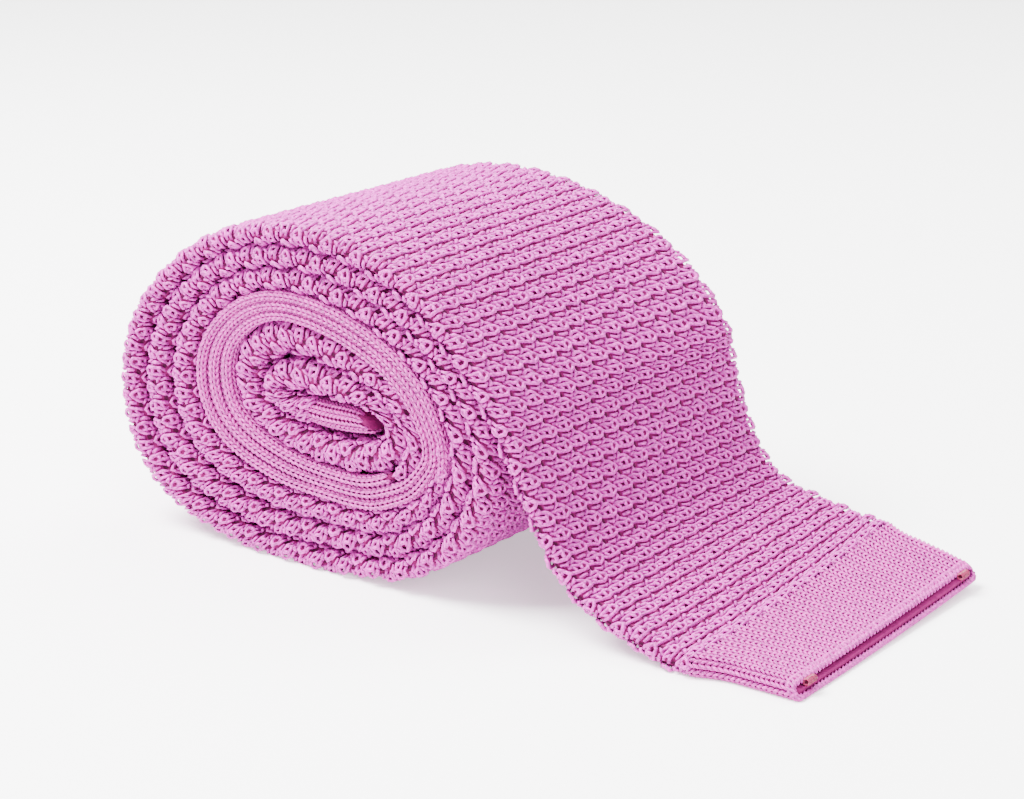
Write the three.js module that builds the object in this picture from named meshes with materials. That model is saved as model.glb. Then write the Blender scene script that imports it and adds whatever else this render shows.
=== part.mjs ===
// A knit necktie, rolled up from its tail and lying on a table with its front blade sloping off
// the roll to a square open end. The whole tie is one flattened knitted tube of two plies.
// Millimetres, +Z up. +Y runs across the cloth, from the near fold to the far one, and +X along
// the free blade towards its open end. The origin is under the middle, on the table.

import * as THREE from 'three';

// Driving dimensions
const BLADE_WIDTH = 64;
const BLADE_THICKNESS = 3.4; // two textured plies pressed together
const BLADE_PUFF = 0.65; // share of the slack at a bend that the textured tube fills
const BLADE_TURNS = 2.94; // textured turns of the front blade in the roll

const FRONT_BAND_WIDTH = 60; // plain knit draws in, so the end band is narrower
const FRONT_BAND_LENGTH = 17;
const FRONT_BAND_THICKNESS = 3;

const NECK_WIDTH = 40;
const NECK_THICKNESS = 1.35; // two fine plain plies
const NECK_PUFF = 0.9;
const NECK_TURNS = 2.9;

const TAIL_WIDTH = 56;
const TAIL_THICKNESS = 4.1; // two textured plies, less pressed inside the roll
const TAIL_PUFF = 0.8;
const TAIL_TURNS = 1.81;

const TAIL_BAND_WIDTH = 52;
const TAIL_BAND_THICKNESS = 3.4;
const TAIL_BAND_TURNS = 0.22;

const PLY_GAP = 0.3; // slit inside the flattened tube, at its middle
const EDGE_EASE = 0.04; // share of the thickness that the plies lose towards their folds
const CLEARANCE = 0.4; // between turns that touch, and between pieces that join
const MOUTH_HEIGHT = 1.1; // how far the upper lip of the open end stands up
const LIP_LEAD = 2; // how far the bottom of the lower lip runs past the top of the upper one
const TAPER_TURNS = 0.6; // stretch over which the tube narrows towards the neckband
const THINNING_TURNS = 0.14; // stretch over which it thins to the neckband's thickness

const ROLL_SPAN = 9; // half the straight line that the roll is wound round
const FREE_REACH = 40; // along the table, from the roll to the end of the textured blade
const SHOULDER_BULGE = 5; // how far the far side of the free blade swings out
const SETTLE = 1; // cloth this close to the table lies on it

const TACK_LENGTH = 2.6; // bar tacks that close the corners of the open end
const TACK_RADIUS = 0.5;
const TACK_INSET = 4.5; // from a side fold of the band to the middle of its tack

// Colours and finish
const TEXTURED_KNIT = { color: '#cc76b5', roughness: 0.7, metalness: 0 };
const PLAIN_KNIT = { color: '#dd8dc7', roughness: 0.62, metalness: 0 };
const TACK_THREAD = { color: '#ee4484', roughness: 0.55, metalness: 0 };

// How the roll lies, read along spokes of the roll. phase is the spoke's angle from +X towards
// +Z. inner is the reach of the innermost turn in tail pitches. tail, neck and blade are the
// spacing of those turns there, as multiples of their tightest pitch.
const ROLL_TABLE = [
  { phase: 0, inner: 0.17, tail: 1.21, neck: 1.07, blade: 1.26 },
  { phase: 30, inner: 0.13, tail: 1.03, neck: 1.05, blade: 1.0 },
  { phase: 60, inner: 0.27, tail: 1.11, neck: 1.01, blade: 1.08 },
  { phase: 90, inner: 0.54, tail: 1.33, neck: 1.03, blade: 1.07 },
  { phase: 120, inner: 0.85, tail: 1.62, neck: 1.03, blade: 1.07 },
  { phase: 150, inner: 0.89, tail: 1.53, neck: 1.28, blade: 1.27 },
  { phase: 180, inner: 0.83, tail: 1.3, neck: 1.75, blade: 1.66 },
  { phase: 210, inner: 0.92, tail: 1.29, neck: 1.75, blade: 1.89 },
  { phase: 240, inner: 0.97, tail: 1.28, neck: 1.41, blade: 1.47 },
  { phase: 270, inner: 1.1, tail: 1.34, neck: 1.14, blade: 1.15 },
  { phase: 300, inner: 1.28, tail: 1.49, neck: 1.2, blade: 1.13 },
  { phase: 330, inner: 1.38, tail: 1.1, neck: 1.03, blade: 1.18 },
];
const INNER_GROWTH = 1.11; // tail pitches that the innermost turn gains on its way round

// How far the far side of the outermost layer swings out where it comes off the roll, as shares
// of SHOULDER_BULGE.
const SHOULDER_TABLE = [
  { phase: 0, swing: 0.85 },
  { phase: 15, swing: 1.0 },
  { phase: 30, swing: 0.95 },
  { phase: 45, swing: 0.6 },
  { phase: 60, swing: 0.2 },
  { phase: 75, swing: 0.05 },
  { phase: 90, swing: 0.0 },
];

// The free blade from the roll to the table. x is a share of FREE_REACH, z a share of the height
// where it leaves the roll, and swing a share of SHOULDER_BULGE.
const FREE_TABLE = [
  { x: 0.1, z: 0.81, swing: 0.6 },
  { x: 0.2, z: 0.6, swing: 0.25 },
  { x: 0.28, z: 0.43, swing: 0.15 },
  { x: 0.36, z: 0.295, swing: 0.2 },
  { x: 0.46, z: 0.19, swing: 0.35 },
  { x: 0.58, z: 0.115, swing: 0.6 },
  { x: 0.76, z: 0.045, swing: 0.8 },
  { x: 0.88, z: 0.0, swing: 0.95 },
  { x: 1.0, z: 0.0, swing: 0.9 },
];

// The end band. along is a share of FRONT_BAND_LENGTH, open a share of the lips' opening, and
// swing a share of SHOULDER_BULGE: its far side still stands a little off the table.
const MOUTH_TABLE = [
  { along: 0.0, open: 0.0, swing: 0.88 },
  { along: 0.4, open: 0.1, swing: 0.75 },
  { along: 0.75, open: 0.45, swing: 0.5 },
  { along: 1.0, open: 1.0, swing: 0.3 },
];

const STEPS_PER_TURN = 32;
const STEP_DEGREES = 360 / STEPS_PER_TURN;
const LEAVING_STEP = 1; // the free blade leaves the roll one step before the +X spoke
const FOLD_SEGMENTS = 4; // sides of each rounded fold
const BLADE_COLUMNS = [-1, 0, 1]; // columns of a ply, as shares of its flat half
const MOUTH_COLUMNS = [-1, -0.6, 0, 0.6, 1];

const steps = (turns) => Math.round(turns * STEPS_PER_TURN);
const NECK_STEP = steps(BLADE_TURNS);
const TAIL_STEP = NECK_STEP + steps(NECK_TURNS);
const TAIL_BAND_STEP = TAIL_STEP + steps(TAIL_TURNS);
const LAST_STEP = TAIL_BAND_STEP + steps(TAIL_BAND_TURNS);

// Reads one column of the roll table at any angle, as a smooth closed curve.
function rollColumn(name, degrees) {
  const count = ROLL_TABLE.length;
  const place = (degrees % 360) / (360 / count);
  const row = Math.floor(place);
  const share = place - row;
  const value = (offset) => ROLL_TABLE[(row + offset + count) % count][name];
  const [before, from, to, after] = [value(-1), value(0), value(1), value(2)];
  const slopeFrom = (to - before) / 2;
  const slopeTo = (after - from) / 2;
  const square = 3 * (to - from) - 2 * slopeFrom - slopeTo;
  const cube = slopeFrom + slopeTo - 2 * (to - from);
  return from + share * (slopeFrom + share * (square + share * cube));
}

// Reads a column of a short table between its rows, in a straight line.
function tableValue(table, key, column, place) {
  const next = table.findIndex((row) => row[key] >= place);
  if (next < 1) {
    return table[Math.max(next, 0)][column];
  }
  const [low, high] = [table[next - 1], table[next]];
  const share = (place - low[key]) / (high[key] - low[key]);
  return THREE.MathUtils.lerp(low[column], high[column], share);
}

// The cloth at a step of the roll. Steps count inwards from the +X spoke of the outermost turn.
// The textured tube thins as it comes to the neckband and thickens as it leaves it.
function clothAt(index) {
  const thinning = THINNING_TURNS * STEPS_PER_TURN;
  const { smoothstep, lerp } = THREE.MathUtils;
  if (index < NECK_STEP) {
    const share = smoothstep(index, NECK_STEP - thinning, NECK_STEP);
    return {
      column: 'blade',
      thickness: lerp(BLADE_THICKNESS, NECK_THICKNESS, share),
      puff: BLADE_PUFF,
    };
  }
  if (index <= TAIL_STEP) {
    return { column: 'neck', thickness: NECK_THICKNESS, puff: NECK_PUFF };
  }
  const share = smoothstep(index, TAIL_STEP, TAIL_STEP + thinning);
  return {
    column: 'tail',
    thickness: lerp(NECK_THICKNESS, TAIL_THICKNESS, share),
    puff: TAIL_PUFF,
  };
}

// Radius of each layer's outer face along its spoke, wound up from the inside: a layer lies one
// pitch outside the layer that is one turn further in.
function woundLayers() {
  const layers = [];
  for (let index = LAST_STEP; index >= 0; index -= 1) {
    const degrees = index * STEP_DEGREES;
    const { column, thickness, puff } = clothAt(index);
    const slack = rollColumn(column, degrees);
    const pitch = thickness + CLEARANCE;
    const below = layers[index + STEPS_PER_TURN];
    const progress = (LAST_STEP - index) / STEPS_PER_TURN;
    const reach = rollColumn('inner', degrees) + INNER_GROWTH * progress;
    const innermost = (TAIL_THICKNESS + CLEARANCE) * reach;
    const outer = below ? below.outer + slack * pitch : innermost;
    layers[index] = { degrees, outer, thickness: thickness * (1 + puff * (slack - 1)) };
  }
  return layers;
}

// Middle line of the cloth through the roll, seen from the near side, standing on the table.
function rollPath() {
  const points = woundLayers().map(({ degrees, outer, thickness }) => {
    const radius = outer - thickness / 2;
    const angle = THREE.MathUtils.degToRad(degrees);
    const spoke = new THREE.Vector2(Math.cos(angle), Math.sin(angle));
    return {
      degrees,
      x: (ROLL_SPAN + radius) * spoke.x,
      z: radius * spoke.y,
      underside: outer * spoke.y,
      thickness,
      normal: spoke,
    };
  });
  const lowest = Math.min(...points.map((point) => point.underside));
  return points.map((point) => {
    const height = point.underside - lowest;
    return { ...point, z: point.z - lowest - (height < SETTLE ? height : 0) };
  });
}

// Width of the tube at a step of the roll: it narrows into the neckband and widens out of it.
function widthAt(index) {
  const taper = TAPER_TURNS * STEPS_PER_TURN;
  const { smoothstep, lerp } = THREE.MathUtils;
  if (index < NECK_STEP) {
    return lerp(BLADE_WIDTH, NECK_WIDTH, smoothstep(index, NECK_STEP - taper, NECK_STEP));
  }
  return lerp(NECK_WIDTH, TAIL_WIDTH, smoothstep(index, TAIL_STEP, TAIL_STEP + taper));
}

// The free blade: leaves the roll, slopes down and comes to lie on the table.
function freePath(leaving) {
  const rest = BLADE_THICKNESS / 2;
  return FREE_TABLE.map((row) => ({
    index: -1,
    x: leaving.x + row.x * FREE_REACH,
    z: rest + row.z * (leaving.z - rest),
    thickness: BLADE_THICKNESS,
    width: BLADE_WIDTH,
    swing: row.swing * SHOULDER_BULGE,
  }));
}

// Gives stations outside the roll their outward unit normals. In the roll the cloth's thickness
// is measured along the spokes, and a station there has its spoke for a normal already.
function withNormals(points) {
  return points.map((point, place) => {
    const before = points[Math.max(place - 1, 0)];
    const after = points[Math.min(place + 1, points.length - 1)];
    const normal = new THREE.Vector2(before.z - after.z, after.x - before.x).normalize();
    return { normal, ...point };
  });
}

// Every station of the tie from the tail to the end of the textured front blade.
function tieStations() {
  const roll = rollPath().map((point, index) => {
    const isOutermost = index * STEP_DEGREES <= 90;
    const swing = isOutermost ? tableValue(SHOULDER_TABLE, 'phase', 'swing', point.degrees) : 0;
    return { ...point, index, width: widthAt(index), swing: swing * SHOULDER_BULGE };
  });
  const inRoll = roll.slice(LEAVING_STEP);
  return withNormals([...inRoll.toReversed(), ...freePath(inRoll[0])]);
}

const stations = tieStations();

// The stations of one piece, trimmed by half a clearance at each end so that pieces keep apart.
function stretch(high, low) {
  const chosen = stations.filter(({ index }) => index <= high && index >= low);
  return trimmed(chosen);
}

function trimmed(chosen) {
  return chosen.map((station, place) => {
    const isEnd = place === chosen.length - 1;
    const shift = place === 0 || isEnd ? ((isEnd ? -1 : 1) * CLEARANCE) / 2 : 0;
    const { normal } = station;
    return { ...station, x: station.x + normal.y * shift, z: station.z - normal.x * shift };
  });
}

// Stations of the front end band, which lies flat on the table past the textured blade.
function bandStations() {
  const start = stations[stations.length - 1];
  const flat = MOUTH_TABLE.map((row) => ({
    x: start.x + row.along * FRONT_BAND_LENGTH,
    z: FRONT_BAND_THICKNESS / 2,
    thickness: FRONT_BAND_THICKNESS,
    width: FRONT_BAND_WIDTH,
    swing: row.swing * SHOULDER_BULGE,
    gape: row.open * MOUTH_HEIGHT,
    lead: row.open * LIP_LEAD,
  }));
  return trimmed(withNormals(flat));
}

// Outline of a flattened tube: two nearly flat plies with rounded folds, and a thin lens of
// space between them.
function tubeShape(width, thickness, columns) {
  const radius = thickness / 2;
  const flat = width / 2 - radius;
  const ply = columns.map((share) => [share * flat, radius * (EDGE_EASE * share ** 2 - 1)]);
  const fold = Array.from({ length: FOLD_SEGMENTS - 1 }, (_, place) => {
    const angle = ((place + 1) * Math.PI) / FOLD_SEGMENTS - Math.PI / 2;
    return [flat + radius * Math.cos(angle), radius * Math.sin(angle)];
  });
  const half = [...ply, ...fold];
  const outline = [...half, ...half.map(([x, y]) => [-x, -y])];
  const slitPly = columns.slice(0, -1).map((share) => [share * flat, ((share ** 4 - 1) * PLY_GAP) / 2]);
  const slit = [...slitPly, ...slitPly.map(([x, y]) => [-x, -y])];
  const toPoints = (list) => list.map(([x, y]) => new THREE.Vector2(x, y));
  const shape = new THREE.Shape(toPoints(outline));
  shape.holes.push(new THREE.Path(toPoints(slit)));
  return shape;
}

// Bends a straight tube along its stations. inset is how far its near fold lies from the near
// face of the roll. The upper ply gapes and the lower one leads where a station says so.
function bentTube(path, nominal, columns, inset) {
  const shape = tubeShape(nominal.width, nominal.thickness, columns);
  const depth = path.length - 1;
  const geometry = new THREE.ExtrudeGeometry(shape, { depth, steps: depth, bevelEnabled: false });
  const position = geometry.attributes.position;
  for (let vertex = 0; vertex < position.count; vertex += 1) {
    const station = path[Math.round(position.getZ(vertex))];
    const { gape = 0, lead = 0, normal } = station;
    const share = position.getX(vertex) / nominal.width + 0.5;
    const level = position.getY(vertex);
    const lens = Math.max(1 - (2 * share - 1) ** 2, 0);
    const opened = level > 0 ? gape * lens : 0;
    const along = (-lead * level) / nominal.thickness;
    const out = (level * station.thickness) / nominal.thickness + opened + station.swing * share ** 2;
    position.setXYZ(
      vertex,
      station.x + normal.x * out + normal.y * along,
      inset + share * station.width,
      station.z + normal.y * out - normal.x * along,
    );
  }
  geometry.computeVertexNormals();
  return geometry;
}

function frontBlade() {
  const nominal = { width: BLADE_WIDTH, thickness: BLADE_THICKNESS };
  return bentTube(stretch(NECK_STEP, -1), nominal, BLADE_COLUMNS, 0);
}

function frontEndBand() {
  const nominal = { width: FRONT_BAND_WIDTH, thickness: FRONT_BAND_THICKNESS };
  const inset = (BLADE_WIDTH - FRONT_BAND_WIDTH) / 2;
  return bentTube(bandStations(), nominal, MOUTH_COLUMNS, inset);
}

function neckband() {
  const nominal = { width: NECK_WIDTH, thickness: NECK_THICKNESS };
  return bentTube(stretch(TAIL_STEP, NECK_STEP), nominal, BLADE_COLUMNS, 0);
}

function tailBlade() {
  const nominal = { width: TAIL_WIDTH, thickness: TAIL_THICKNESS };
  return bentTube(stretch(TAIL_BAND_STEP, TAIL_STEP), nominal, BLADE_COLUMNS, 0);
}

function tailEndBand() {
  const nominal = { width: TAIL_BAND_WIDTH, thickness: TAIL_THICKNESS };
  const thinner = TAIL_BAND_THICKNESS / TAIL_THICKNESS;
  const path = stretch(LAST_STEP, TAIL_BAND_STEP).map((station) => ({
    ...station,
    width: TAIL_BAND_WIDTH,
    thickness: station.thickness * thinner,
  }));
  return bentTube(path, nominal, BLADE_COLUMNS, (TAIL_WIDTH - TAIL_BAND_WIDTH) / 2);
}

// A bar tack lies on the lower lip, in front of the edge of the upper one, and closes a corner.
function cornerTack(side) {
  const mouth = bandStations().pop();
  const lowerPly = (FRONT_BAND_THICKNESS - PLY_GAP) / 2;
  const reach = side * (FRONT_BAND_WIDTH / 2 - TACK_INSET);
  const lift = mouth.swing * (reach / FRONT_BAND_WIDTH + 0.5) ** 2;
  const length = TACK_LENGTH - 2 * TACK_RADIUS;
  return new THREE.CapsuleGeometry(TACK_RADIUS, length, 3, 8).translate(
    mouth.x + CLEARANCE + TACK_RADIUS,
    BLADE_WIDTH / 2 + reach,
    lowerPly + lift + CLEARANCE + TACK_RADIUS,
  );
}

const PIECES = [
  { name: 'front_blade', geometry: frontBlade(), finish: TEXTURED_KNIT },
  { name: 'front_end_band', geometry: frontEndBand(), finish: PLAIN_KNIT },
  { name: 'neckband', geometry: neckband(), finish: PLAIN_KNIT },
  { name: 'tail_blade', geometry: tailBlade(), finish: TEXTURED_KNIT },
  { name: 'tail_end_band', geometry: tailEndBand(), finish: PLAIN_KNIT },
  { name: 'near_corner_tack', geometry: cornerTack(-1), finish: TACK_THREAD },
  { name: 'far_corner_tack', geometry: cornerTack(1), finish: TACK_THREAD },
];

// The origin goes under the middle of the whole tie, on the table.
const bounds = new THREE.Box3();
PIECES.forEach(({ geometry }) => {
  geometry.computeBoundingBox();
  bounds.union(geometry.boundingBox);
});
const middle = bounds.getCenter(new THREE.Vector3());

const tie = new THREE.Group();
PIECES.forEach(({ name, geometry, finish }) => {
  const mesh = new THREE.Mesh(geometry, new THREE.MeshStandardMaterial(finish));
  mesh.name = name;
  geometry.translate(-middle.x, -middle.y, -bounds.min.z);
  tie.add(mesh);
});

export default tie;
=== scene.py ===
"""A pink knit necktie rolled up from its tail, with its front blade sloping off the roll.

The tie is one flattened knitted tube. Its cloth is laid out flat as a swatch, x along the tie
towards the open end, y round the tube in stitches and z out of the cloth, all in millimetres,
and is then wound onto the path that the rolled tie follows. Finished meshes are in metres.
"""

import bmesh
import bpy
import numpy as np
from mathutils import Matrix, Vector


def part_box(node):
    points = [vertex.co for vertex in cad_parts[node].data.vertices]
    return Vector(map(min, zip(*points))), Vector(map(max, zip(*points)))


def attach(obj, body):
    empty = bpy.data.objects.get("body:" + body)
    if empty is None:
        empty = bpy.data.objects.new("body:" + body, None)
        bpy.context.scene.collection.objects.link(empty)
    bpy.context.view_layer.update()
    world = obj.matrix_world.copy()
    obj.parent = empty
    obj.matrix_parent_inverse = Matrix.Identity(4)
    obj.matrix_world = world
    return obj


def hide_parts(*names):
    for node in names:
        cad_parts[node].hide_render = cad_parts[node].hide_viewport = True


bl_info = {
    "name": "Rolled knit necktie",
    "version": (1, 0, 0),
    "blender": (4, 5, 0),
    "location": "3D View > Sidebar > Necktie",
    "description": "Knits a rolled necktie stitch by stitch over its measured frame",
    "category": "Add Mesh",
}

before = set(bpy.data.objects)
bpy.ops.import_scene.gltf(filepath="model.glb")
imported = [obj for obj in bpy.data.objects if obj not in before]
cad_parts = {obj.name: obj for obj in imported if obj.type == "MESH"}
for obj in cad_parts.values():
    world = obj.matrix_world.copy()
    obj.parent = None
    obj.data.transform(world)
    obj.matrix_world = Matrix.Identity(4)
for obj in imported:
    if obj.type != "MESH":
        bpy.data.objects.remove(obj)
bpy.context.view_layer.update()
MM = 0.001

# The winding of the roll, as the frame has it. Sizes are in millimetres, turns count inwards.
STEPS = 32
NECK_STEP, TAIL_STEP, TAIL_BAND_STEP, LAST_STEP = 94, 187, 245, 252
BLADE = {"column": "blade", "thickness": 3.4, "puff": 0.65}
NECK = {"column": "neck", "thickness": 1.35, "puff": 0.9}
TAIL = {"column": "tail", "thickness": 4.1, "puff": 0.8}
BLADE_WIDTH, NECK_WIDTH, TAIL_WIDTH = 64.0, 40.0, 56.0
BAND_WIDTH, BAND_LENGTH, BAND_THICKNESS = 60.0, 17.0, 3.0
TAIL_BAND_WIDTH, TAIL_BAND_THICKNESS = 52.0, 3.4
CLEARANCE, ROLL_SPAN, FREE_REACH, BULGE, SETTLE, TAPER = 0.4, 9.0, 40.0, 5.0, 1.0, 0.6
THINNING = 0.14
LIP_RISE, LIP_LEAD = 0.15, 2.0
INNER_GROWTH = 1.11
# the end band takes on its own section within this many times less than its length
BAND_EASING = 2.5
# yarn is kept this far off the table
TABLE_GAP = 0.02

ROLL = {
    "inner": (0.17, 0.13, 0.27, 0.54, 0.85, 0.89, 0.83, 0.92, 0.97, 1.1, 1.28, 1.38),
    "tail": (1.21, 1.03, 1.11, 1.33, 1.62, 1.53, 1.3, 1.29, 1.28, 1.34, 1.49, 1.1),
    "neck": (1.07, 1.05, 1.01, 1.03, 1.03, 1.28, 1.75, 1.75, 1.41, 1.14, 1.2, 1.03),
    "blade": (1.26, 1.0, 1.08, 1.07, 1.07, 1.27, 1.66, 1.89, 1.47, 1.15, 1.13, 1.18),
}
SHOULDER = ((0, 15, 30, 45, 60, 75, 90), (0.85, 1.0, 0.95, 0.6, 0.2, 0.05, 0.0))
# x share, height share and swing share of the free blade
FREE = (
    (0.1, 0.81, 0.6),
    (0.2, 0.6, 0.25),
    (0.28, 0.43, 0.15),
    (0.36, 0.295, 0.2),
    (0.46, 0.19, 0.35),
    (0.58, 0.115, 0.6),
    (0.76, 0.045, 0.8),
    (0.88, 0.0, 0.95),
    (1.0, 0.0, 0.9),
)
# share along the end band, share of the mouth's opening, swing share
MOUTH = ((0.0, 0.0, 0.88), (0.4, 0.1, 0.75), (0.75, 0.45, 0.5), (1.0, 1.0, 0.3))


def roll_column(name, degrees):
    """One column of the roll's table at any angle, as a smooth closed curve."""
    values = ROLL[name]
    place = (degrees % 360) / 30
    row = int(place)
    share = place - row
    before, start, end, after = (values[(row + k) % 12] for k in (-1, 0, 1, 2))
    slope_a, slope_b = (end - before) / 2, (after - start) / 2
    square = 3 * (end - start) - 2 * slope_a - slope_b
    cube = slope_a + slope_b - 2 * (end - start)
    return start + share * (slope_a + share * (square + share * cube))


def smoothstep(value, low, high):
    share = min(max((value - low) / (high - low), 0), 1)
    return share * share * (3 - 2 * share)


def cloth_at(index):
    """Column of the roll's table, thickness and puff of the cloth at a step of the roll."""
    if NECK_STEP <= index <= TAIL_STEP:
        return NECK["column"], NECK["thickness"], NECK["puff"]
    if index < NECK_STEP:
        cloth, thin = BLADE, smoothstep(index, NECK_STEP - THINNING * STEPS, NECK_STEP)
    else:
        cloth, thin = TAIL, 1 - smoothstep(index, TAIL_STEP, TAIL_STEP + THINNING * STEPS)
    thickness = cloth["thickness"] + (NECK["thickness"] - cloth["thickness"]) * thin
    return cloth["column"], thickness, cloth["puff"]


def width_at(index):
    """Width of the flattened tube, which narrows into the neckband and widens out of it."""
    taper = TAPER * STEPS
    if index < NECK_STEP:
        share = smoothstep(index, NECK_STEP - taper, NECK_STEP)
        return BLADE_WIDTH + (NECK_WIDTH - BLADE_WIDTH) * share
    share = smoothstep(index, TAIL_STEP, TAIL_STEP + taper)
    return NECK_WIDTH + (TAIL_WIDTH - NECK_WIDTH) * share


def wound_layers():
    """Outer radius and thickness of every layer, wound up from the inside."""
    layers = {}
    for index in range(LAST_STEP, -1, -1):
        degrees = index * 360 / STEPS
        column, thickness, puff = cloth_at(index)
        slack = roll_column(column, degrees)
        below = layers.get(index + STEPS)
        reach = roll_column("inner", degrees) + INNER_GROWTH * (LAST_STEP - index) / STEPS
        innermost = (TAIL["thickness"] + CLEARANCE) * reach
        outer = below[0] + slack * (thickness + CLEARANCE) if below else innermost
        layers[index] = (outer, thickness * (1 + puff * (slack - 1)))
    return layers


def tie_path():
    """Stations from the end of the textured blade inwards.

    Each has x, z, the normal in x and z, thickness, width, swing and step.
    """
    layers = wound_layers()
    lowest = min(o * np.sin(np.radians(i * 360 / STEPS)) for i, (o, _) in layers.items())
    roll = []
    for index in range(1, LAST_STEP + 1):
        outer, thickness = layers[index]
        angle = np.radians(index * 360 / STEPS)
        height = outer * np.sin(angle) - lowest
        radius = outer - thickness / 2
        swing = np.interp(np.degrees(angle), *SHOULDER) * BULGE if index <= STEPS / 4 else 0.0
        z = radius * np.sin(angle) - lowest - (height if height < SETTLE else 0)
        x = (ROLL_SPAN + radius) * np.cos(angle)
        roll.append([x, z, np.cos(angle), np.sin(angle), thickness, width_at(index), swing, index])
    leaving, rest = roll[0], BLADE["thickness"] / 2
    free = []
    for x, z, swing in reversed(FREE):
        spot = [leaving[0] + x * FREE_REACH, rest + z * (leaving[1] - rest)]
        free.append([*spot, 0, 0, 2 * rest, BLADE_WIDTH, swing * BULGE, 0])
    path = np.array(free + roll)
    ends = np.vstack([path[:1], path, path[-1:]])
    tangent = ends[:-2, :2] - ends[2:, :2]
    tangent /= np.linalg.norm(tangent, axis=1, keepdims=True)
    count = len(free)
    path[:count, 2:4] = np.column_stack([-tangent[:count, 1], tangent[:count, 0]])
    return path


PATH = tie_path()
STATION = np.r_[0, np.cumsum(np.linalg.norm(np.diff(PATH[:, :2], axis=0), axis=1))]
OPEN_END_X = PATH[0, 0] + BAND_LENGTH + LIP_LEAD / 2 + CLEARANCE / 2
MIDDLE_X = (OPEN_END_X + (PATH[:, 0] - PATH[:, 4] / 2).min()) / 2


def where(step):
    """How far from the end of the textured blade a step of the roll lies, along the cloth."""
    return float(np.interp(step, PATH[len(FREE) :, 7], STATION[len(FREE) :]))


def smooth_at(values, places):
    """Reads a column of the path at any distance along it, on a smooth curve."""
    row = np.clip(np.searchsorted(STATION, places, side="right") - 1, 0, len(STATION) - 2)
    span = STATION[row + 1] - STATION[row]
    share = np.clip((places - STATION[row]) / span, 0, 1)
    slopes = np.gradient(values, STATION)
    a, b = values[row], values[row + 1]
    ma, mb = slopes[row] * span, slopes[row + 1] * span
    square = 3 * (b - a) - 2 * ma - mb
    cube = ma + mb - 2 * (b - a)
    return a + share * (ma + share * (square + share * cube))


def ringed(around, half, width, radius):
    """Place on a flattened tube: across, level and the outward direction in the section.

    around runs from 0 at the near fold to half at the far fold over the upper ply, and
    backwards under the lower ply.
    """
    side = np.where(around < 0, -1.0, 1.0)
    reach = np.abs((around + half) % (2 * half) - half) / half
    arc = np.pi * radius / 2
    run = reach * (width - 2 * radius + 2 * arc)
    near = run < arc
    far = run > arc + width - 2 * radius
    far_angle = np.pi - (2 * arc + width - 2 * radius - run) / radius
    angle = np.where(near, run / radius, np.where(far, far_angle, np.pi / 2))
    far_across = width - radius - radius * np.cos(angle)
    across = np.where(far, far_across, run - arc + radius)
    across = np.where(near, radius * (1 - np.cos(angle)), across)
    side = np.where((around + half) % (2 * half) - half < 0, -1.0, side)
    level_n = side * np.sin(angle)
    return across, level_n * radius, -np.cos(angle) * np.where(near | far, 1, 0), level_n


def wind(flat, half, sink):
    """Winds flat swatch points (millimetres, stitches, millimetres) onto the rolled tie, in metres.

    half is the number of stitch rows on one ply, sink how deep the cloth's base lies under the
    tube's outer skin.
    """
    along, around, out = -flat[:, 0], flat[:, 1], flat[:, 2] - sink
    x, z, nx, nz, thick, width, swing = (smooth_at(PATH[:, k], along) for k in range(7))
    size = np.hypot(nx, nz)
    nx, nz = nx / size, nz / size
    radius = thick / 2
    across, level, across_n, level_n = ringed(around, half, width, radius)
    across = across + across_n * out
    level = level + level_n * out
    share = np.clip(across / width, 0, 1)
    level = level + swing * share**2
    height = np.maximum(z + nz * level, TABLE_GAP)
    return np.column_stack([x + nx * level - MIDDLE_X, across - BLADE_WIDTH / 2, height]) * MM


def wind_band(flat, half, sink):
    """Lays flat swatch points onto the front end band, with its lips open."""
    along, around, out = flat[:, 0] - CLEARANCE / 2, flat[:, 1], flat[:, 2] - sink
    place = np.clip(along / BAND_LENGTH, 0, 1)
    easing = (1 - np.clip(place * BAND_EASING, 0, 1)) ** 2
    width = BAND_WIDTH + (BLADE_WIDTH - BAND_WIDTH) * easing
    radius = (BAND_THICKNESS + (BLADE["thickness"] - BAND_THICKNESS) * easing) / 2
    across, level, across_n, level_n = ringed(around, half, width, radius)
    across = across + across_n * out
    level = level + level_n * out
    share = np.clip(across / width, 0, 1)
    table = np.array(MOUTH)
    opening = np.interp(place, table[:, 0], table[:, 1])
    swing = np.interp(place, table[:, 0], table[:, 2]) * BULGE
    lens = np.clip(1 - (2 * share - 1) ** 2, 0, 1)
    upper = np.where((around + half) % (2 * half) - half >= 0, 1.0, 0.0)
    lead = -np.sign(level) * np.minimum(np.abs(level), radius) / BAND_THICKNESS * LIP_LEAD * opening
    z = radius + level + upper * LIP_RISE * opening * lens + swing * share**2
    x = PATH[0, 0] + CLEARANCE + along + lead
    y = across - width / 2
    return np.column_stack([x - MIDDLE_X, y, np.maximum(z, TABLE_GAP)]) * MM


def drift(points, size):
    """Small smooth unevenness, so that no two stitches lie quite alike."""
    x, y = points[:, 0], points[:, 1]
    dx = np.sin(1.31 * x + 2.3 * y) + np.sin(0.57 * x - 1.9 * y + 1.7)
    dy = np.sin(1.13 * x - 1.7 * y + 0.6) + np.sin(0.41 * x + 2.9 * y)
    dz = np.sin(0.93 * x + 1.3 * y + 2.1)
    return points + size * np.column_stack([dx, 0.25 * dy, 0.5 * dz])


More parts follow.
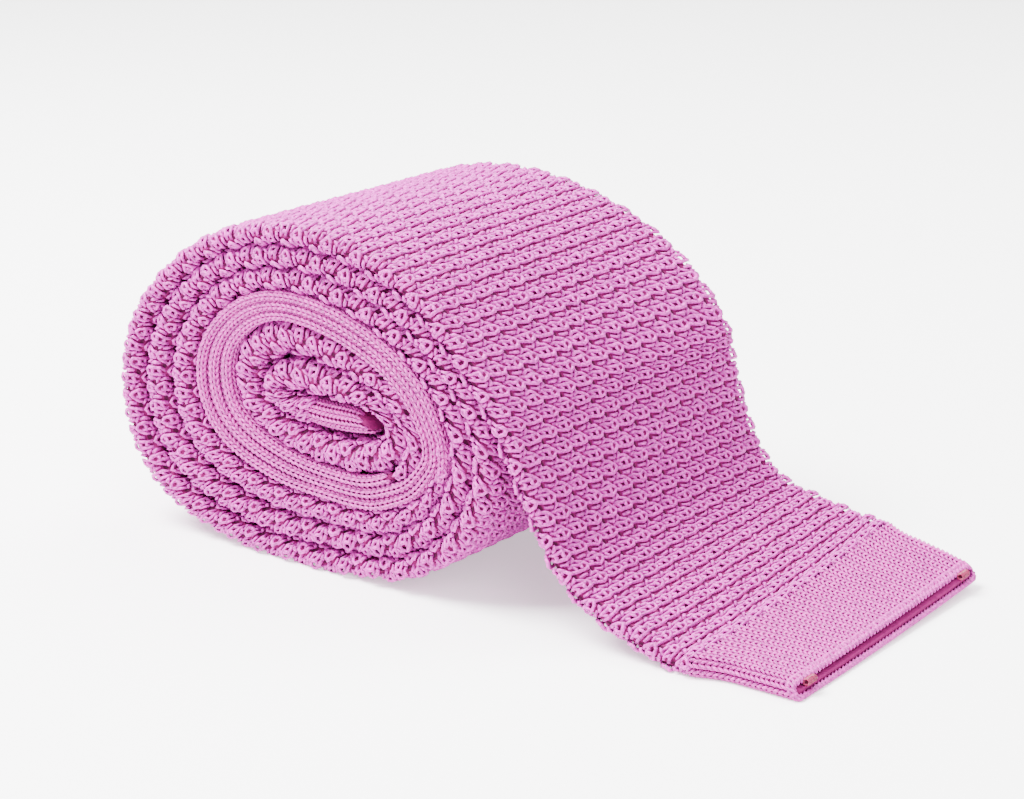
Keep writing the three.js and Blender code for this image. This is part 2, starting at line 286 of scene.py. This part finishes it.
# Strands of one stitch of the textured knit, about its eyelet at 0, 0: x along the tie, y across
# it, z out of the cloth, in millimetres. Columns of stitches are COLUMN apart and rows ROW.
COLUMN, ROW = 3.22, 4.4
PAIR = 2 * COLUMN
LACE_STITCH = (
    # the loop: up its right leg, over its raised head, down its short left side
    ((-1.15, -4.7, -0.1), (-0.75, -3.5, 0.24), (-0.4, -2.1, 0.62), (-0.55, -1.1, 0.72), (-1.15, -0.62, 0.7),
     (-1.75, -0.98, 0.55), (-2.0, -1.7, 0.25)),
    # the left leg, which comes out under the head
    ((-1.65, -1.5, 0.4), (-1.7, -2.4, 0.48), (-1.95, -3.5, 0.24), (-2.1, -4.5, -0.1)),
    # the strand that closes the head below its hole
    ((-1.95, -2.1, 0.35), (-1.15, -2.2, 0.68), (-0.4, -2.0, 0.5)),
    # the strand across the slot between the legs
    ((-1.8, -3.65, 0.0), (-1.15, -3.3, 0.36), (-0.55, -3.5, 0.1)),
    # the strand that crosses in from the stitch before
    ((-2.75, -2.7, -0.05), (-2.4, -1.8, 0.42), (-1.9, -0.95, 0.3)),
    # purl bumps beside the eyelet
    ((0.0, -0.6, 0.1), (0.42, -0.82, 0.5), (0.78, -1.4, 0.1)),
    ((0.25, -1.5, 0.1), (0.5, -2.3, 0.42), (0.2, -3.4, -0.05)),
)
LACE_YARN = 0.34

# One V of the plain knit: its two legs, for a wale WALE wide and a course COURSE long.
WALE, COURSE = 1.95, 0.95
PLAIN_STITCH = (
    ((-0.5, 0.1, 0.0), (0.02, 0.36, 0.42), (0.46, 0.6, 0.32), (0.85, 0.76, -0.12)),
    ((-0.5, -0.1, 0.0), (0.02, -0.36, 0.42), (0.46, -0.6, 0.32), (0.85, -0.76, -0.12)),
)
PLAIN_YARN = 0.27
PLAIN_GAUGE = (WALE, COURSE, PLAIN_YARN)
NECK_GAUGE = (1.3, 1.15, 0.24)

# One chain of the hem along a lip of the open end, HEM wide across the cloth.
HEM = 1.05
HEM_STITCH = (
    ((-0.35, -0.55, 0.2), (-0.5, -0.1, 0.45), (-0.28, 0.35, 0.5), (0.1, 0.62, 0.1)),
    ((0.35, -0.55, 0.05), (0.48, -0.1, 0.2), (0.3, 0.35, 0.35), (-0.05, 0.62, 0.2)),
)
HEM_YARN = 0.42

# A bar tack: satin stitches side by side, each a loop this wide and high that leans a little.
TACK_STITCHES, TACK_YARN = 7, 0.19
TACK_WIDTH, TACK_HEIGHT, TACK_LEAN = 0.55, 0.5, 0.08


def evaluated(holder):
    """The mesh of an object with its modifiers applied; the object itself goes."""
    depsgraph = bpy.context.evaluated_depsgraph_get()
    mesh = bpy.data.meshes.new_from_object(holder.evaluated_get(depsgraph))
    bpy.data.objects.remove(holder)
    return mesh


def strands(name, table, radius, scale=(1, 1, 1)):
    """A mesh of round strands through the points of a stitch table."""
    curve = bpy.data.curves.new(name, "CURVE")
    curve.dimensions = "3D"
    curve.bevel_depth = radius
    curve.bevel_resolution = 0
    curve.use_fill_caps = True
    for points in table:
        spline = curve.splines.new("POLY")
        spline.points.add(len(points) - 1)
        for target, point in zip(spline.points, points):
            target.co = (*(c * s for c, s in zip(point, scale)), 1)
    holder = bpy.data.objects.new(name, curve)
    bpy.context.collection.objects.link(holder)
    return evaluated(holder)


def arrayed(mesh, counts, offsets):
    """Repeats a mesh along x and y and returns the joined swatch."""
    swatch = bpy.data.objects.new(mesh.name, mesh)
    bpy.context.collection.objects.link(swatch)
    for count, offset in zip(counts, offsets):
        array = swatch.modifiers.new("repeat", "ARRAY")
        array.count = count
        array.use_relative_offset = False
        array.use_constant_offset = True
        array.constant_offset_displace = offset
    return evaluated(swatch)


def coordinates(mesh):
    flat = np.empty(len(mesh.vertices) * 3)
    mesh.vertices.foreach_get("co", flat)
    return flat.reshape(-1, 3)


def place(mesh, points):
    mesh.vertices.foreach_set("co", points.ravel())
    mesh.update()


def lace_swatch(start, end, low, high):
    """Textured knit laid flat: two staggered columns, repeated from start to end along the tie
    and over the stitch rows from low to high. Returns the mesh, with y in stitch rows."""
    pair = LACE_STITCH + tuple(
        tuple((x - COLUMN, y + ROW / 2, z) for x, y, z in strand) for strand in LACE_STITCH
    )
    first, last = int(np.ceil(start / PAIR)), int(np.ceil(end / PAIR))
    mesh = strands("lace", pair, LACE_YARN)
    mesh = arrayed(mesh, (last - first, high - low), ((-PAIR, 0, 0), (0, ROW, 0)))
    points = drift(coordinates(mesh) - (first * PAIR, 0, 0), 0.1)
    points[:, 1] = points[:, 1] / ROW + low + 0.5
    return mesh, points


def plain_swatch(start, end, low, high, gauge):
    """Plain knit laid flat from start to end along the tie, over the wales from low to high.

    gauge is the width of a wale, the length of a course and the radius of the yarn.
    """
    wale, course, yarn = gauge
    scale = (course / COURSE, wale / WALE, yarn / PLAIN_YARN)
    mesh = strands("plain", PLAIN_STITCH, yarn, scale)
    courses = max(int(round((end - start) / course)), 1)
    pitch = (end - start) / courses
    mesh = arrayed(mesh, (courses, high - low), ((-pitch, 0, 0), (0, wale, 0)))
    points = drift(coordinates(mesh), 0.02)
    points[:, 0] -= start
    points[:, 1] = points[:, 1] / wale + low + 0.5
    return mesh, points


def finish(name, mesh, material, smooth=True):
    """Makes the mesh a piece of the tie: faces outwards, its material, and its body."""
    work = bmesh.new()
    work.from_mesh(mesh)
    bmesh.ops.remove_doubles(work, verts=work.verts, dist=1e-7)
    bmesh.ops.recalc_face_normals(work, faces=work.faces)
    for face in work.faces:
        face.smooth = smooth
    work.to_mesh(mesh)
    work.free()
    mesh.name = name
    mesh.materials.clear()
    mesh.materials.append(material)
    piece = bpy.data.objects.new(name, mesh)
    bpy.context.collection.objects.link(piece)
    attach(piece, "root")
    return piece


# cells of the ground: their length along the tie, and how many go round it
GROUND_STEP, GROUND_RING = 1.2, 48


def base_tube(name, start, end, half, sink, material, winder=wind, open_end=False):
    """The closed cloth under the stitches: a flat grid, wound round into a tube and shut."""
    work = bmesh.new()
    rows = max(int(round((end - start) / GROUND_STEP)), 2)
    bmesh.ops.create_grid(work, x_segments=rows, y_segments=GROUND_RING, size=0.5, calc_uvs=True)
    uv = work.loops.layers.uv.verify()
    sign = 1 if winder is wind_band else -1
    for face in work.faces:
        for loop in face.loops:
            co = loop.vert.co
            loop[uv].uv = (start + (co.x + 0.5) * (end - start), co.y * 2 * half)
    mesh = bpy.data.meshes.new(name)
    work.to_mesh(mesh)
    work.free()
    points = coordinates(mesh)
    along = sign * (start + (points[:, 0] + 0.5) * (end - start))
    flat = np.column_stack([along, points[:, 1] * 2 * half, np.zeros(len(points))])
    place(mesh, winder(flat, half, sink))
    work = bmesh.new()
    work.from_mesh(mesh)
    bmesh.ops.remove_doubles(work, verts=work.verts, dist=1e-6)
    if not open_end:
        bmesh.ops.holes_fill(work, edges=[e for e in work.edges if e.is_boundary], sides=0)
    work.to_mesh(mesh)
    work.free()
    return finish(name, mesh, material)


def linear(code, alpha=1.0):
    """An sRGB hex colour as linear values."""
    channels = [int(code[k : k + 2], 16) / 255 for k in (1, 3, 5)]
    return (*(c / 12.92 if c <= 0.04045 else ((c + 0.055) / 1.055) ** 2.4 for c in channels), alpha)


def add(tree, kind, links=None, **settings):
    """Adds a node with its settings, and links its inputs."""
    node = tree.nodes.new(kind)
    for key, value in settings.items():
        setattr(node, key, value)
    for socket, source in (links or {}).items():
        if isinstance(source, bpy.types.NodeSocket):
            tree.links.new(source, node.inputs[socket])
        else:
            node.inputs[socket].default_value = source
    return node


def maths(tree, operation, *values):
    """The output of a maths node over values or sockets."""
    return add(tree, "ShaderNodeMath", dict(enumerate(values)), operation=operation).outputs[0]


def noise(tree, place_of, scale, **more):
    """The height of a noise at a place, with features one scale-th of a metre across."""
    inputs = {"Vector": place_of, "Scale": scale, **more}
    return add(tree, "ShaderNodeTexNoise", inputs).outputs["Fac"]


def blend(tree, factor, low, high):
    """The output of a mix of two colours."""
    inputs = {"Factor": factor, 6: low, 7: high}
    return add(tree, "ShaderNodeMix", inputs, data_type="RGBA").outputs[2]


def bumped(tree, shader, height, strength, distance):
    """Gives the shader a bump of the height."""
    inputs = {"Height": height, "Strength": strength, "Distance": distance}
    bump = add(tree, "ShaderNodeBump", inputs)
    tree.links.new(bump.outputs["Normal"], shader.inputs["Normal"])


def new_material(name):
    """A material with its node tree and its shader."""
    material = bpy.data.materials.new(name)
    material.use_nodes = True
    return material, material.node_tree, material.node_tree.nodes["Principled BSDF"]


def silk_yarn(name, light, dark, roughness):
    """Twisted silk yarn, dyed: soft gloss with a pale sheen, slightly uneven in the dye, with painted
    highlights and shade on its plies.
    """
    material, tree, shader = new_material(name)
    place_of = add(tree, "ShaderNodeTexCoord").outputs["Object"]
    # dye varies over a few millimetres
    cloud = noise(tree, place_of, 260.0, Detail=3.0)
    # painted highlights: the plies are coloured lit and shaded every half millimetre, and bumped by the
    # same noise
    ply = noise(tree, place_of, 2100.0, Detail=2.0, Roughness=0.6)
    painted_ply_highlight = add(tree, "ShaderNodeMapRange", {"Value": ply, 1: 0.36, 2: 0.64}).outputs[0]
    shade = maths(tree, "MULTIPLY", cloud, 0.35)
    # the colour mixes the painted ply highlight and shade with the dye's unevenness
    factor = maths(tree, "MULTIPLY_ADD", painted_ply_highlight, 0.65, shade)
    mixed = blend(tree, factor, linear(dark), linear(light))
    tree.links.new(mixed, shader.inputs["Base Color"])
    bumped(tree, shader, ply, 0.7, 0.00022)
    shader.inputs["Roughness"].default_value = roughness
    shader.inputs["IOR"].default_value = 1.54
    shader.inputs["Sheen Weight"].default_value = 0.12
    shader.inputs["Sheen Roughness"].default_value = 0.4
    shader.inputs["Sheen Tint"].default_value = linear("#ff9fe6")
    shader.inputs["Specular IOR Level"].default_value = 0.45
    return material


def ground_knit(name, light, dark, eyelet=None):
    """The ground of the knit, seen between the strands, is painted shade: yarn in shadow, and in
    the textured knit painted shade in the eyelets, which lie in staggered rows in the cloth's own UV."""
    material, tree, shader = new_material(name)
    place_of = add(tree, "ShaderNodeTexCoord")
    cloud = noise(tree, place_of.outputs["Object"], 900.0, Detail=3.0)
    # painted shade between the strands, varied at random by a noise
    ground = blend(tree, cloud, linear(dark), linear(light))
    if eyelet:
        # painted shade in the eyelets: a dark spot on each node of the staggered lattice in the cloth's UV
        cloth = add(tree, "ShaderNodeSeparateXYZ", {"Vector": place_of.outputs["UV"]})
        wave_along = maths(tree, "MULTIPLY", cloth.outputs["X"], 2 * np.pi / PAIR)
        wave_round = maths(tree, "MULTIPLY", cloth.outputs["Y"], 2 * np.pi)
        cosines = [maths(tree, "COSINE", wave) for wave in (wave_along, wave_round)]
        lattice = maths(tree, "MULTIPLY", *cosines)
        inputs = {"Value": lattice, 1: -0.85, 2: -0.45, 3: 1.0, 4: 0.0}
        eyelet_shade_mask = add(tree, "ShaderNodeMapRange", inputs).outputs[0]
        ground = blend(tree, eyelet_shade_mask, ground, linear(eyelet))
    tree.links.new(ground, shader.inputs["Base Color"])
    bumped(tree, shader, cloud, 0.6, 0.0003)
    shader.inputs["Roughness"].default_value = 0.8
    shader.inputs["Specular IOR Level"].default_value = 0.1
    return material


def colour(name, description, default):
    """A colour setting of the panel."""
    return bpy.props.StringProperty(
        name=name, description=description + ", as sRGB hex", default=default
    )


class NECKTIE_PG_settings(bpy.types.PropertyGroup):
    """Colours of the necktie."""

    # the yarn's lit and deeper colours are its dye and also the painted highlight and shade on its plies
    lace_light: colour("Textured yarn", "Lit colour of the textured knit", "#e22cc4")
    lace_dark_dye_and_shade: colour("Textured yarn, deeper dye and painted shade", "Deeper dye and painted ply shade of the textured knit", "#780868")
    plain_light: colour("Plain yarn", "Lit colour of the plain knit", "#dc2cb8")
    plain_dark_dye_and_shade: colour("Plain yarn, deeper dye and painted shade", "Deeper dye and painted ply shade of the plain knit", "#7a0c68")
    # painted shade: the ground between the strands and the eyelets are coloured dark for the shade that
    # falls there
    ground_shade_light: colour("Ground", "Painted shade of the knit between strands", "#86165f")
    ground_shade_dark: colour("Ground, deeper", "Deeper painted shade between strands", "#5c0a42")
    eyelet: colour("Eyelets", "Painted shade in the eyelets", "#3a0528")
    tack: colour("Bar tack", "Colour of the bar tacks", "#80003f")


def knit_materials():
    """The tie's materials, made once."""
    s = bpy.context.scene.necktie
    if "Textured silk knit" not in bpy.data.materials:
        silk_yarn("Textured silk knit", s.lace_light, s.lace_dark_dye_and_shade, 0.5)
        silk_yarn("Plain silk knit", s.plain_light, s.plain_dark_dye_and_shade, 0.48)
        silk_yarn("Satin tack thread", s.tack, s.tack, 0.4)
        ground_knit("Textured knit in shade", s.ground_shade_light, s.ground_shade_dark, s.eyelet)
        ground_knit("Plain knit in shade", s.ground_shade_light, s.ground_shade_dark)
    return bpy.data.materials


HALF_LACE, HALF_TAIL, HALF_NECK, HALF_BAND, HALF_TAIL_BAND = 15, 13, 30, 31, 26
ONE_TURN = where(STEPS + 1)
SINK, NECK_SINK, TAIL_BAND_SINK, HEM_SINK = 0.45, 0.28, 0.9, 0.7
# how far the neckband's knit runs on under its neighbours, before its start and past its end
NECK_OVERRUN = (1.5, 2.0)
BAND_WALL = 1.2


def knit_lace(name, start, end, low, high, half):
    """One stretch of textured knit, wound on: stitch rows low to high of half rows to a ply."""
    mesh, points = lace_swatch(start, end, low, high)
    place(mesh, wind(points, half, SINK))
    return finish(name, mesh, knit_materials()["Textured silk knit"])


def knit_plain(name, span, rows, half, sink, gauge, winder=wind):
    """One stretch of plain knit over a span along the tie and a range of its wales."""
    mesh, points = plain_swatch(*span, *rows, gauge)
    place(mesh, winder(points, half, sink))
    return finish(name, mesh, knit_materials()["Plain silk knit"])


class NECKTIE_OT_front_blade(bpy.types.Operator):
    """Knits the textured front blade: its ground, its face and its folded edges"""

    bl_idname = "necktie.front_blade"
    bl_label = "Front blade"

    def execute(self, context):
        end = where(NECK_STEP)
        shade = knit_materials()["Textured knit in shade"]
        ground = base_tube("front_blade_ground", -0.1, end - 0.2, HALF_LACE, SINK, shade)
        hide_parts("front_blade")
        knit_lace("front_blade_face", 0, ONE_TURN / 2, -2, HALF_LACE + 2, HALF_LACE)
        knit_lace("front_blade_back", ONE_TURN / 2, ONE_TURN, -2, HALF_LACE + 2, HALF_LACE)
        knit_lace("front_blade_underside", 0, where(2), -HALF_LACE + 2, -2, HALF_LACE)
        inner = where(2 * STEPS)
        knit_lace("front_blade_inner_ply", inner, end, -HALF_LACE + 2, -HALF_LACE + 9, HALF_LACE)
        knit_lace("front_blade_near_edge", ONE_TURN, end, -2, 2, HALF_LACE)
        knit_lace("front_blade_far_edge", ONE_TURN, end, HALF_LACE - 2, HALF_LACE + 2, HALF_LACE)
        return {"FINISHED"}


class NECKTIE_OT_tail(bpy.types.Operator):
    """Knits the tail inside the roll and its plain end band"""

    bl_idname = "necktie.tail"
    bl_label = "Tail"

    def execute(self, context):
        made = knit_materials()
        start, end, last = where(TAIL_STEP) + 0.2, where(TAIL_BAND_STEP), where(LAST_STEP)
        shade, plain_shade = made["Textured knit in shade"], made["Plain knit in shade"]
        ground = base_tube("tail_ground", start, end - 0.2, HALF_TAIL, SINK, shade)
        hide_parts("tail_blade")
        knit_lace("tail_near_edge", start, end, -3, 3, HALF_TAIL)
        knit_lace("tail_far_edge", start, end, HALF_TAIL - 3, HALF_TAIL + 3, HALF_TAIL)
        half, sink = HALF_TAIL_BAND, TAIL_BAND_SINK
        band = base_tube("tail_band_ground", end + 0.2, last, half, sink, plain_shade)
        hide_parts("tail_end_band")
        knit_plain("tail_band_knit", (end, last), (-half, half), half, sink, PLAIN_GAUGE)
        return {"FINISHED"}


class NECKTIE_OT_neckband(bpy.types.Operator):
    """Knits the fine plain neckband"""

    bl_idname = "necktie.neckband"
    bl_label = "Neckband"

    def execute(self, context):
        shade = knit_materials()["Plain knit in shade"]
        start = where(NECK_STEP) - NECK_OVERRUN[0]
        end = where(TAIL_STEP) + NECK_OVERRUN[1]
        ground = base_tube("neckband_ground", start, end, HALF_NECK, NECK_SINK, shade)
        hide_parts("neckband")
        span, far = (start, end), (HALF_NECK - 1, HALF_NECK + 1)
        knit_plain("neckband_near_edge", span, (-2, 2), HALF_NECK, NECK_SINK, NECK_GAUGE)
        knit_plain("neckband_far_edge", span, far, HALF_NECK, NECK_SINK, NECK_GAUGE)
        return {"FINISHED"}


class NECKTIE_OT_end_band(bpy.types.Operator):
    """Knits the plain end band and the chain hem round its open end"""

    bl_idname = "necktie.end_band"
    bl_label = "End band"

    def execute(self, context):
        made = knit_materials()
        half, shade = HALF_BAND, made["Plain knit in shade"]
        ground = base_tube(
            "end_band_ground", -0.6, BAND_LENGTH - 0.3, half, SINK, shade, wind_band, open_end=True
        )
        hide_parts("front_end_band")
        wall = ground.modifiers.new("wall", "SOLIDIFY")
        wall.thickness = BAND_WALL * MM
        wall.offset = -1
        # from just short of the hem to a little way over the textured knit
        span = (-BAND_LENGTH + 0.6, 1.4)
        knit_plain("end_band_knit", span, (-half, half), half, SINK, PLAIN_GAUGE, wind_band)
        chains = 2 * round(2 * BAND_WIDTH / HEM / 2)
        mesh = arrayed(strands("hem", HEM_STITCH, HEM_YARN), (chains,), ((0, HEM, 0),))
        points = coordinates(mesh) + (BAND_LENGTH - 0.2, 0, 0)
        points[:, 1] = (points[:, 1] / HEM / chains - 0.5) * 2 * half
        place(mesh, wind_band(points, half, HEM_SINK))
        finish("end_band_hem", mesh, made["Plain silk knit"])
        return {"FINISHED"}


class NECKTIE_OT_tacks(bpy.types.Operator):
    """Sews the bar tacks at the corners of the open end"""

    bl_idname = "necktie.tacks"
    bl_label = "Bar tacks"

    def execute(self, context):
        made = knit_materials()
        for node in ("near_corner_tack", "far_corner_tack"):
            low, high = (Vector(c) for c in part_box(node))
            middle = (low + high) / 2 * 1000
            reach = (high.y - low.y) * 500
            turn = np.linspace(0, 2 * np.pi, 9)
            table = []
            for k in range(TACK_STITCHES):
                row = middle.y - reach + (k + 0.5) * 2 * reach / TACK_STITCHES
                x = middle.x + TACK_WIDTH * np.cos(turn)
                z = middle.z + TACK_HEIGHT * np.sin(turn)
                table.append(tuple(zip(x, row + TACK_LEAN * np.sin(turn), z)))
            mesh = strands(node + "_stitches", table, TACK_YARN)
            place(mesh, coordinates(mesh) * MM)
            piece = finish(node + "_stitches", mesh, made["Satin tack thread"])
            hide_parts(node)
        return {"FINISHED"}


class NECKTIE_OT_stage(bpy.types.Operator):
    """Sets the pale floor, the soft lights and the camera"""

    bl_idname = "necktie.stage"
    bl_label = "Stage"

    def execute(self, context):
        work = bmesh.new()
        bmesh.ops.create_grid(work, x_segments=1, y_segments=1, size=3)
        mesh = bpy.data.meshes.new("floor")
        work.to_mesh(mesh)
        work.free()
        floor = bpy.data.objects.new("floor", mesh)
        context.collection.objects.link(floor)
        paper, _, shader = new_material("Matt white paper")
        shader.inputs["Base Color"].default_value = linear("#ffffff")
        shader.inputs["Roughness"].default_value = 0.9
        shader.inputs["Emission Color"].default_value = linear("#ffffff")
        shader.inputs["Emission Strength"].default_value = 0.7
        mesh.materials.append(paper)

        world = bpy.data.worlds.new("soft studio")
        world.use_nodes = True
        background = world.node_tree.nodes["Background"]
        background.inputs["Color"].default_value = linear("#ffffff")
        background.inputs["Strength"].default_value = 1.05
        context.scene.world = world
        lights = (
            ("key softbox", (-0.35, -0.25, 0.75), 0.5, 46.0),
            ("fill softbox", (0.7, -0.5, 0.6), 0.6, 9.0),
            ("top softbox", (0.1, 0.5, 0.9), 0.7, 14.0),
        )
        for name, spot, size, power in lights:
            light = bpy.data.lights.new(name, "AREA")
            light.size = size
            light.energy = power
            lamp = bpy.data.objects.new(name, light)
            lamp.location = spot
            aim = Vector((0, 0, 0.02)) - Vector(spot)
            lamp.rotation_euler = aim.to_track_quat("-Z", "Y").to_euler()
            context.collection.objects.link(lamp)

        camera = bpy.data.cameras.new("camera")
        camera.sensor_width = 36
        camera.lens = 2450 / 1024 * 36
        camera.clip_start = 0.01
        view = bpy.data.objects.new("camera", camera)
        view.location = np.array((242.194, -329.959, 155.47)) * MM
        view.rotation_euler = np.radians((90 - 17.33, 0, 36.914))
        context.collection.objects.link(view)
        context.scene.camera = view
        return {"FINISHED"}


class NECKTIE_PT_panel(bpy.types.Panel):
    """Lists the pieces of the necktie"""

    bl_idname = "NECKTIE_PT_panel"
    bl_label = "Rolled knit necktie"
    bl_space_type = "VIEW_3D"
    bl_region_type = "UI"
    bl_category = "Necktie"

    def draw(self, context):
        for operator in OPERATORS:
            self.layout.operator(operator.bl_idname)
        for name in NECKTIE_PG_settings.__annotations__:
            self.layout.prop(context.scene.necktie, name)


OPERATORS = (
    NECKTIE_OT_stage,
    NECKTIE_OT_front_blade,
    NECKTIE_OT_end_band,
    NECKTIE_OT_tacks,
    NECKTIE_OT_neckband,
    NECKTIE_OT_tail,
)
CLASSES = (NECKTIE_PG_settings, *OPERATORS, NECKTIE_PT_panel)


def register():
    for cls in CLASSES:
        bpy.utils.register_class(cls)
    bpy.types.Scene.necktie = bpy.props.PointerProperty(type=NECKTIE_PG_settings)


def unregister():
    del bpy.types.Scene.necktie
    for cls in reversed(CLASSES):
        bpy.utils.unregister_class(cls)


def main():
    register()
    bpy.ops.necktie.stage()
    bpy.ops.necktie.front_blade()
    bpy.ops.necktie.end_band()
    bpy.ops.necktie.tacks()
    bpy.ops.necktie.neckband()
    bpy.ops.necktie.tail()


if __name__ == "__main__":
    main()
